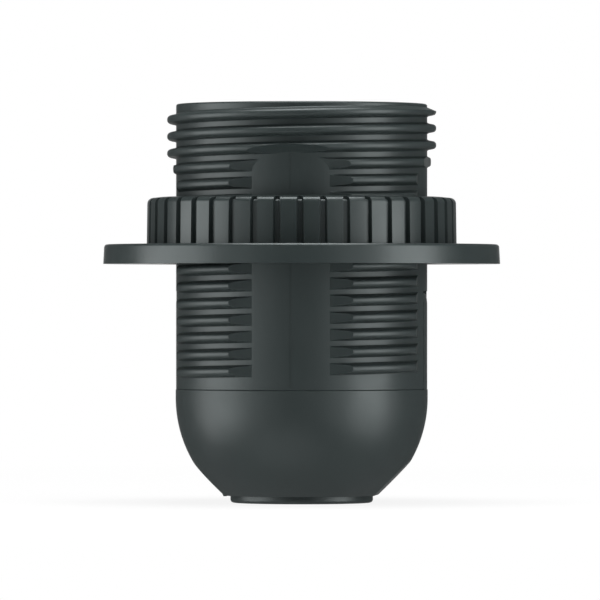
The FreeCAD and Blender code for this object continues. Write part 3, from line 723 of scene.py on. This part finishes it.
def grip_cutters():
    """Cutters of the grip grooves: tapered, and rounded over a small ledge at their upper end."""
    floor = HUB_RADIUS - GRIP_DEPTH
    ledge = HUB_TOP - GRIP_DROP
    outer = HUB_RADIUS + PAST
    taper = (GRIP_WIDTH - GRIP_FLOOR) / GRIP_DEPTH
    outline = [
        (floor, FLANGE_TOP),
        (outer, FLANGE_TOP),
        (outer, HUB_TOP + PAST),
        (floor - GRIP_LEDGE, HUB_TOP + PAST),
        (floor - GRIP_LEDGE, ledge),
        (floor, ledge, GRIP_ROUND),
    ]
    cutters = bmesh.new()
    for vert in prism(cutters, outline, GRIP_FLOOR):
        vert.co.y *= 1 + taper * (vert.co.x - floor) / GRIP_FLOOR
    first = [*cutters.verts, *cutters.edges, *cutters.faces]
    for index in range(1, GRIPS):
        copied = vertices_of(bmesh.ops.duplicate(cutters, geom=first)["geom"])
        turn = Matrix.Rotation(TURN * index / GRIPS, 3, "Z")
        bmesh.ops.rotate(cutters, verts=copied, cent=(0, 0, 0), matrix=turn)
    turn = Matrix.Rotation(math.radians(GRIP_YAW), 3, "Z")
    bmesh.ops.rotate(cutters, verts=cutters.verts, cent=(0, 0, 0), matrix=turn)
    return seal(cutters)


def shade_ring():
    """Shade ring: flange and hub, grip grooves round the hub and the thread in its bore."""
    body = lathe(
        [
            (RING_BORE + RING_CHAMFER, FLANGE_BOTTOM),
            (FLANGE_RADIUS, FLANGE_BOTTOM),
            (FLANGE_RADIUS - FLANGE_DRAFT, FLANGE_TOP, FLANGE_ROUND),
            (HUB_RADIUS, FLANGE_TOP),
            (HUB_RADIUS - HUB_DRAFT, HUB_TOP - HUB_FALL, HUB_ROUND),
            (RING_BORE + RING_CHAMFER, HUB_TOP),
            (RING_BORE, HUB_TOP - RING_CHAMFER),
            (RING_BORE, FLANGE_BOTTOM + RING_CHAMFER),
        ],
        steps=GRIPS * GRIP_STEPS,
    )
    body = combine(body, grip_cutters())
    # The ring's ridge runs halfway between those of the skirt. It starts over +X, a quarter turn
    # before they do, so half a pitch up becomes a quarter, and whole turns more
    start = RIDGE_START + PITCH * (0.5 - 0.25 + RING_RIDGE_LIFT)
    inner = ridge(
        RING_BORE, RING_RIDGE_RADIUS, RING_RIDGE_BASE, RING_RIDGE_CREST, start, RING_RIDGE_SOFT
    )
    embedded = RING_BORE + RING_RIDGE_ROOT
    profile = [(embedded, inner[0][1]), *inner, (embedded, inner[-1][1])]
    body = combine(body, thread(profile, PITCH, RING_RIDGE_TURNS), "UNION")
    return make("ring", body, "shade_ring", MOULDED_EDGE, BLACK_SMOOTH)


def arc(radius, start_z, stop_z, steps):
    """Points on the dome's circle between two heights, both ends included."""
    first, last = (math.asin((z - DOME_CENTRE) / radius) for z in (start_z, stop_z))
    angles = [first + (last - first) * index / steps for index in range(steps + 1)]
    return [(radius * math.cos(angle), DOME_CENTRE + radius * math.sin(angle)) for angle in angles]


def flat_cutters():
    """Two prisms that cut the dome's shoulders flat at 45 degrees, down to its foot."""
    cutters = bmesh.new()
    corner = FLAT_DISTANCE * math.sqrt(2) - DOME_CENTRE + DOME_FOOT
    low = (corner, -FLAT_HALF_WIDTH, DOME_FOOT)
    high = (corner + FLAT_DEPTH, FLAT_HALF_WIDTH, DOME_FOOT + FLAT_DEPTH)
    for yaw in (0, 180):
        made = box(cutters, low, high)
        inner_top = [vert for vert in made if vert.co.z > DOME_FOOT + 1 and vert.co.x < corner + 1]
        bmesh.ops.translate(cutters, vec=(FLAT_DEPTH, 0, 0), verts=inner_top)
        turn = Matrix.Rotation(math.radians(yaw), 3, "Z")
        bmesh.ops.rotate(cutters, verts=made, cent=(0, 0, 0), matrix=turn)
    return seal(cutters)


def cap():
    """Domed cap with its collar, latch arms, block ribs and the boss of the M10x1 entry."""
    cavity_foot = DOME_CENTRE - math.sqrt(DOME_INNER**2 - NECK_INNER**2)
    shell = lathe(
        [
            (ENTRY_RADIUS + ENTRY_CHAMFER, 0),
            (COLLAR_RADIUS, 0, COLLAR_ROUND),
            (COLLAR_RADIUS, DOME_FOOT + COLLAR_GAP),
            (COLLAR_RADIUS + COLLAR_GAP, DOME_FOOT + COLLAR_GAP),
            (COLLAR_RADIUS + COLLAR_GAP, DOME_FOOT),
            *arc(DOME_RADIUS, DOME_FOOT, DOME_CENTRE, 28),
            (DOME_RADIUS, PARTING, EDGE_FINE),
            (NECK_OUTER, PARTING),
            (NECK_OUTER, NECK_TOP, EDGE_SOFT),
            (NECK_INNER, NECK_TOP, EDGE_SOFT),
            *arc(DOME_INNER, cavity_foot, FLOOR, 16),
            (BOSS_RADIUS, FLOOR, BOSS_ROUND),
            (BOSS_RADIUS, BOSS_TOP),
            (ENTRY_RADIUS + ENTRY_CHAMFER, BOSS_TOP),
            (ENTRY_RADIUS, BOSS_TOP - ENTRY_CHAMFER),
            (ENTRY_RADIUS, ENTRY_CHAMFER),
        ]
    )
    shell = combine(shell, flat_cutters())
    stop = lathe([(STOP_INNER, STOP_FOOT[1]), STOP_FOOT, STOP_HEAD, (STOP_INNER, STOP_HEAD[1])])
    span = bmesh.new()
    box(span, (-2 * STOP_INNER, -STOP_WIDTH / 2, 0), (0, STOP_WIDTH / 2, PARTING))
    shell = combine(shell, combine(stop, span, "INTERSECT"), "UNION")

    ribs = bmesh.new()
    for yaw in (45, 135, 225, 315):
        half = RIB_THICKNESS / 2
        box(ribs, (RIB_INNER, -half, DOME_FOOT), (RIB_OUTER, half, RIB_TOP), yaw)
    ball = bmesh.new()
    bmesh.ops.create_uvsphere(
        ball, u_segments=96, v_segments=48, radius=(DOME_RADIUS + DOME_INNER) / 2
    )
    bmesh.ops.translate(ball, vec=(0, 0, DOME_CENTRE), verts=ball.verts)
    shell = combine(shell, combine(ribs, ball, "INTERSECT"), "UNION")

    arm_ring = lathe(
        [
            (ARM_INNER, DOME_CENTRE),
            (SKIRT_RADIUS, DOME_CENTRE),
            (SKIRT_RADIUS, ARM_TOP - ARM_LEAN_FALL, ARM_LEAN_ROUND),
            (SKIRT_RADIUS - ARM_LEAN, ARM_TOP, ARM_OUTER_ROUND),
            (ARM_INNER, ARM_TOP, ARM_INNER_ROUND),
        ]
    )
    span = bmesh.new()
    half = ARM_WIDTH / 2
    box(span, (-2 * SKIRT_RADIUS, -half, 0), (2 * SKIRT_RADIUS, half, RIM))
    arms = combine(arm_ring, span, "INTERSECT")
    shell = combine(shell, arms, "UNION")

    lug = lay(rod(LUG_RADIUS, LUG_START, LUG_REACH), 90, LOCK_HEIGHT)
    shell = combine(shell, lug, "UNION")
    shell = combine(shell, lay(rod(LOCK_HOLE, 0, LUG_REACH + PAST), 90, LOCK_HEIGHT))

    start = -ENTRY_PITCH
    groove = [
        (ENTRY_RADIUS - ENTRY_OVERCUT, start - ENTRY_HALF_OPENING),
        (ENTRY_ROOT, start - ENTRY_HALF_ROOT),
        (ENTRY_ROOT, start + ENTRY_HALF_ROOT),
        (ENTRY_RADIUS - ENTRY_OVERCUT, start + ENTRY_HALF_OPENING),
    ]
    shell = combine(shell, thread(groove, ENTRY_PITCH, ENTRY_TURNS, steps=ENTRY_STEPS))
    return make("cap", shell, "dome_cap", MOULDED_EDGE)


def screw(name, node, tip, yaw, height, head=False):
    """Slotted screw along a radius: a turned core, a fine thread and, if asked, a cheese head."""
    point = CLAMP_POINT if head else LOCK_POINT
    corners = [(0, 0), (SCREW_CORE - point, 0, 0.1), (SCREW_CORE, point)]
    if head:
        end = SCREW_LENGTH + HEAD_HEIGHT
        corners += [
            (SCREW_CORE, SCREW_LENGTH),
            (HEAD_RADIUS, SCREW_LENGTH, 0.1),
            (HEAD_RADIUS, end, 0.3),
            (0, end),
        ]
    else:
        end = SCREW_LENGTH
        corners += [(SCREW_CORE, end, 0.1), (0, end)]
    body = lathe(corners, SMALL_STEPS)
    start = point + SCREW_PITCH / 2
    profile = ridge(
        SCREW_CORE - 0.1, SCREW_RADIUS, SCREW_RIDGE_BASE, SCREW_RIDGE_CREST, start
    )
    turns = (SCREW_LENGTH - start - SCREW_PITCH / 2) / SCREW_PITCH
    body = combine(body, thread(profile, SCREW_PITCH, turns, steps=SCREW_STEPS), "UNION")
    slot = bmesh.new()
    half = DRIVER_WIDTH / 2
    box(slot, (-HEAD_RADIUS * 2, -half, end - DRIVER_DEPTH), (HEAD_RADIUS * 2, half, end + PAST))
    body = combine(body, slot)
    bmesh.ops.translate(body, vec=(0, 0, tip), verts=body.verts)
    return make(name, lay(body, yaw, height), node, SCREW_EDGE)


def leaf(corners, side, rounded_ends):
    """Bent strip of sheet metal with a rivet hole on one side: the corners are its edge view."""
    bm = bmesh.new()
    rounded_face(bm, corners)
    bmesh.ops.translate(bm, vec=(0, -LEAF_HALF_WIDTH, 0), verts=bm.verts)
    grown = bmesh.ops.extrude_face_region(bm, geom=list(bm.faces))["geom"]
    bmesh.ops.translate(bm, vec=(0, 2 * LEAF_HALF_WIDTH, 0), verts=vertices_of(grown))
    ends = [
        edge
        for edge in bm.edges
        if abs(edge.verts[0].co.x - edge.verts[1].co.x) < WELD
        and abs(edge.verts[0].co.y - edge.verts[1].co.y) < WELD
        and any(abs(edge.verts[0].co.x - end) < 0.01 for end in rounded_ends)
    ]
    bmesh.ops.bevel(
        bm,
        geom=ends,
        offset=LEAF_CORNER,
        offset_type="OFFSET",
        segments=8,
        profile=0.5,
        affect="EDGES",
        material=-1,
    )
    hole = rod(RIVET_HOLE, LEAF_BOTTOM - PAST, LEAF_TOP + PAST)
    bmesh.ops.translate(hole, vec=(side * RIVET_OFFSET, 0, 0), verts=hole.verts)
    bmesh.ops.recalc_face_normals(bm, faces=bm.faces)
    return combine(bm, hole)


def centre_contact():
    """Leaf that rises from its rivet to the contact button on the axis."""
    low = BUTTON_FOOT - LEAF
    strip = leaf(
        [
            (-CENTRE_END, LEAF_BOTTOM),
            (-CENTRE_BEND, LEAF_BOTTOM, CENTRE_ROUND),
            (-CENTRE_FLAT, low, CENTRE_ROUND),
            (CENTRE_FLAT, low),
            (CENTRE_FLAT, BUTTON_FOOT),
            (-CENTRE_FLAT, BUTTON_FOOT, CENTRE_ROUND),
            (-CENTRE_BEND, LEAF_TOP, CENTRE_ROUND),
            (-CENTRE_END, LEAF_TOP),
        ],
        -1,
        (-CENTRE_END, CENTRE_FLAT),
    )
    rise = BUTTON_TOP - BUTTON_FOOT
    dome = (BUTTON_RADIUS**2 + rise**2) / (2 * rise)
    reaches = [BUTTON_RADIUS * step / 8 for step in range(8, -1, -1)]
    crown = [(reach, BUTTON_TOP - dome + math.sqrt(dome**2 - reach**2)) for reach in reaches]
    button = lathe([(0, low + LEAF / 2), (BUTTON_RADIUS, low + LEAF / 2), *crown], SMALL_STEPS)
    return make("centre_leaf", combine(strip, button, "UNION"), "centre_contact", LEAF_EDGE)


def side_contact():
    """Leaf that stands up beside the lamp and bows in to touch its screw shell."""
    corners = [(SIDE_END, LEAF_BOTTOM), *SIDE_OUTER, *SIDE_INNER, (SIDE_END, LEAF_TOP)]
    strip = leaf(corners, 1, (SIDE_END,))
    return make("side_leaf", strip, "side_contact", LEAF_EDGE)


def softened(name, node, edge):
    """Copy of a CAD node, merged and cleared of its flat faces' inner edges, with soft edges."""
    bm = bmesh.new()
    bm.from_mesh(frame["nodes"][node].data)
    bmesh.ops.transform(bm, matrix=Matrix.Scale(1 / MM, 4), verts=bm.verts)
    bmesh.ops.remove_doubles(bm, verts=bm.verts, dist=WELD)
    bmesh.ops.dissolve_limit(
        bm, angle_limit=math.radians(0.5), verts=bm.verts, edges=bm.edges, delimit={"NORMAL"}
    )
    return make(name, bm, node, edge)


def lamp(name, place, target, width, height, radiance):
    """Soft box that faces a point. Its power follows from its radiance and area."""
    data = bpy.data.lights.new(name, "AREA")
    data.shape = "RECTANGLE"
    data.size, data.size_y = width, height
    data.energy = radiance * math.pi * width * height
    holder = bpy.data.objects.new(name, data)
    holder.location = place
    holder.rotation_euler = (Vector(target) - Vector(place)).to_track_quat("-Z", "Y").to_euler()
    bpy.context.scene.collection.objects.link(holder)


def studio():
    """Camera at the photo's angle, soft boxes left, right and above, and white paper behind."""
    turn = math.radians(CAMERA_TURN)
    right = Vector((math.cos(turn), math.sin(turn), 0))
    toward = Vector((-math.sin(turn), math.cos(turn), 0))
    middle = Z_AXIS * CAMERA_LEVEL * MM
    data = bpy.data.cameras.new("camera")
    data.sensor_width = 36.0
    data.lens = data.sensor_width * CAMERA_DISTANCE / (PICTURE_WIDTH / PIXELS_PER_MM * MM)
    data.clip_start, data.clip_end = 0.01, 20
    camera = bpy.data.objects.new("camera", data)
    camera.location = middle - toward * CAMERA_DISTANCE - right * CAMERA_ASIDE * MM
    camera.rotation_euler = toward.to_track_quat("-Z", "Y").to_euler()
    bpy.context.scene.collection.objects.link(camera)
    bpy.context.scene.camera = camera

    for name, across, up, width, height, radiance in LAMPS:
        across, up = math.radians(across), math.radians(up)
        level_way = right * math.sin(across) - toward * math.cos(across)
        way = level_way * math.cos(up) + Z_AXIS * math.sin(up)
        lamp(name, middle + way * LAMP_DISTANCE, middle, width, height, radiance)
    white_paper(toward)
    studio_floor()


def white_paper(toward):
    """World that the camera sees white. It lights little: a dim room over a glowing floor."""
    world = bpy.data.worlds.new("world")
    world.use_nodes = True
    bpy.context.scene.world = world
    tree = world.node_tree
    ground = tree.nodes["Background"]
    ray = add(tree, "ShaderNodeLightPath").outputs
    way = add(tree, "ShaderNodeTexCoord").outputs["Generated"]
    facing = add(tree, "ShaderNodeVectorMath", {"operation": "DOT_PRODUCT"}, i0=way, i1=toward)
    # Reflections show the white paper where it hangs, behind the holder, and elsewhere a dim room
    # with the glow of the floor below
    paper = add(
        tree, "ShaderNodeMapRange", Value=facing.outputs["Value"], From_Min=0.96, From_Max=0.995
    )
    glossy = add(
        tree,
        "ShaderNodeMath",
        {"operation": "MULTIPLY"},
        i0=ray["Is Glossy Ray"],
        i1=paper.outputs["Result"],
    )
    through = add(
        tree,
        "ShaderNodeMath",
        {"operation": "MAXIMUM"},
        i0=ray["Is Camera Ray"],
        i1=ray["Is Transmission Ray"],
    )
    shown = add(
        tree,
        "ShaderNodeMath",
        {"operation": "MAXIMUM"},
        i0=glossy.outputs["Value"],
        i1=through.outputs["Value"],
    )
    rise = add(tree, "ShaderNodeSeparateXYZ", Vector=way).outputs["Z"]
    room = add(
        tree,
        "ShaderNodeMapRange",
        Value=rise,
        From_Min=-0.95,
        From_Max=-0.3,
        To_Min=0.5,
        To_Max=0.09,
    )
    strength = add(
        tree,
        "ShaderNodeMapRange",
        Value=shown.outputs["Value"],
        To_Min=room.outputs["Result"],
        To_Max=1.0,
    )
    ground.inputs["Color"].default_value = (1, 1, 1, 1)
    tree.links.new(strength.outputs["Result"], ground.inputs["Strength"])


def studio_floor():
    """White paper floor: it keeps the holder's shadow near by and turns plain white far away."""
    bm = bmesh.new()
    bmesh.ops.create_grid(bm, x_segments=1, y_segments=1, size=FLOOR_HALF)
    # A hair below the collar, so that the two faces never lie in one plane
    bmesh.ops.translate(bm, vec=(0, 0, -FLOOR_DROP * MM), verts=bm.verts)
    mesh = bpy.data.meshes.new("floor")
    bm.to_mesh(mesh)
    bm.free()
    floor = bpy.data.objects.new("floor", mesh)
    bpy.context.scene.collection.objects.link(floor)
    material, tree, shader = blank("matt_white_paper")
    shader.inputs["Base Color"].default_value = colour("e6e6e6")
    shader.inputs["Roughness"].default_value = 0.9
    place = add(tree, "ShaderNodeTexCoord").outputs["Object"]
    away = add(tree, "ShaderNodeVectorMath", {"operation": "LENGTH"}, i0=place)
    fade = add(
        tree,
        "ShaderNodeMapRange",
        {"interpolation_type": "SMOOTHSTEP"},
        Value=away.outputs["Value"],
        From_Min=0.05,
        From_Max=0.3,
        To_Min=0.88,
        To_Max=1.0,
    )
    ray = add(tree, "ShaderNodeLightPath").outputs
    seen = add(
        tree,
        "ShaderNodeMath",
        {"operation": "MAXIMUM"},
        i0=ray["Is Camera Ray"],
        i1=ray["Is Glossy Ray"],
    )
    share = add(
        tree,
        "ShaderNodeMath",
        {"operation": "MULTIPLY"},
        i0=seen.outputs["Value"],
        i1=fade.outputs["Result"],
    )
    white = add(tree, "ShaderNodeEmission", Color=(1, 1, 1, 1), Strength=1.0)
    mix = add(
        tree,
        "ShaderNodeMixShader",
        i0=share.outputs["Value"],
        i1=shader.outputs["BSDF"],
        i2=white.outputs["Emission"],
    )
    output = tree.nodes["Material Output"]
    tree.links.new(mix.outputs["Shader"], output.inputs["Surface"])
    mesh.materials.append(material)
    # Thin paper on a glass table: the lamps below its edge shine through it
    floor.visible_shadow = False
    floor.visible_glossy = False


skirt()
shade_ring()
cap()
softened("block", "contact_block", 0.2)
for side in ("live", "neutral"):
    softened(f"{side}_pillar", f"{side}_terminal", 0.12)
for side in ("centre", "side"):
    softened(f"{side}_rivet", f"{side}_contact_rivet", 0.05)
screw("neutral_clamp_screw", "neutral_terminal_screw", CLAMP_TIP, 0, CLAMP_HEIGHT, True)
screw("live_clamp_screw", "live_terminal_screw", CLAMP_TIP, 180, CLAMP_HEIGHT, True)
screw("lock_screw", "nipple_lock_screw", LOCK_TIP, 90, LOCK_HEIGHT)
centre_contact()
side_contact()
studio()
bpy.context.scene.view_settings.view_transform = "Standard"
